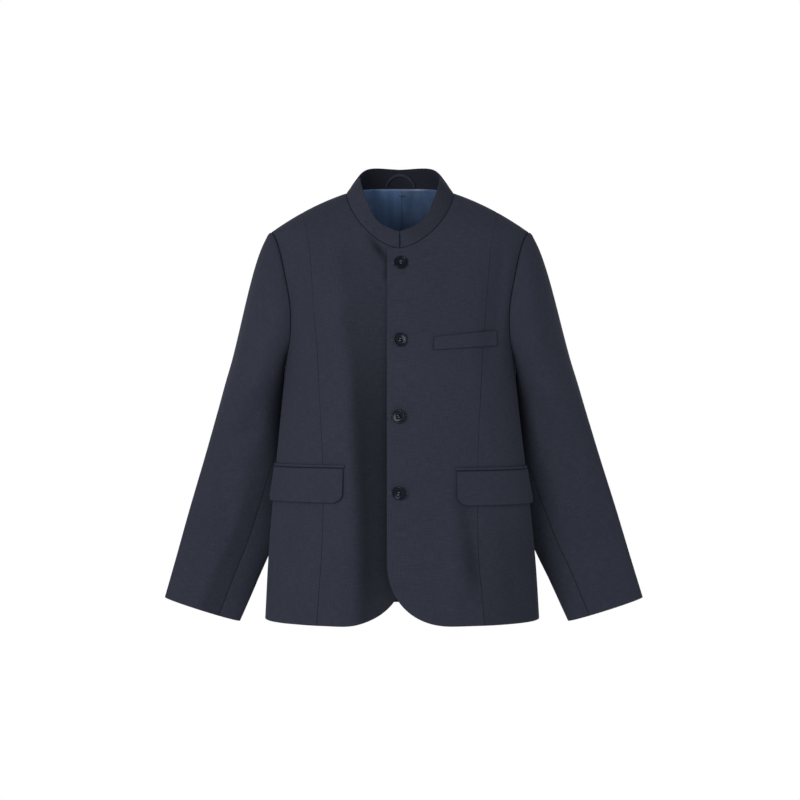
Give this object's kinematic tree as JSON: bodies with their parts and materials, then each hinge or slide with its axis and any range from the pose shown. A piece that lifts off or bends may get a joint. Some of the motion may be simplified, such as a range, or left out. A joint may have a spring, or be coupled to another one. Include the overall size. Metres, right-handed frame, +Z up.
{
  "type": "stand collar jacket",
  "caption": "Navy wool jacket with a stand collar, buttoned front with rounded corners, princess seams, flap pockets, slanted breast welt and two-piece sleeves, filled out as worn.",
  "frame": {"origin": "Midway between the two points where the shoulder seams meet the collar, which is where the wearer's shoulders hold the jacket.", "axes": "+Z up, the front faces -Y, +X is the wearer's left."},
  "size_m": [0.796, 0.2556, 0.7524],
  "materials": {
    "wool_navy": "plain weave wool, fine slubs, matt",
    "lining_satin": "satin lining, soft sheen",
    "button_gloss": "polished, near black"
  },
  "bodies": {
    "root": {"back": "wool_navy", "back_lining": "lining_satin", "breast_welt": "wool_navy", "button_1": "button_gloss", "button_2": "button_gloss", "button_3": "button_gloss", "button_4": "button_gloss", "collar": "wool_navy", "flap_left": "wool_navy", "flap_right": "wool_navy", "front_left": "wool_navy", "front_right": "wool_navy", "hanger_loop": "wool_navy", "jet_left": "wool_navy", "jet_right": "wool_navy", "side_front_left": "wool_navy", "side_front_right": "wool_navy", "under_sleeve_left": "wool_navy", "under_sleeve_right": "wool_navy", "upper_sleeve_left": "wool_navy", "upper_sleeve_right": "wool_navy"}
  },
  "joints": []
}
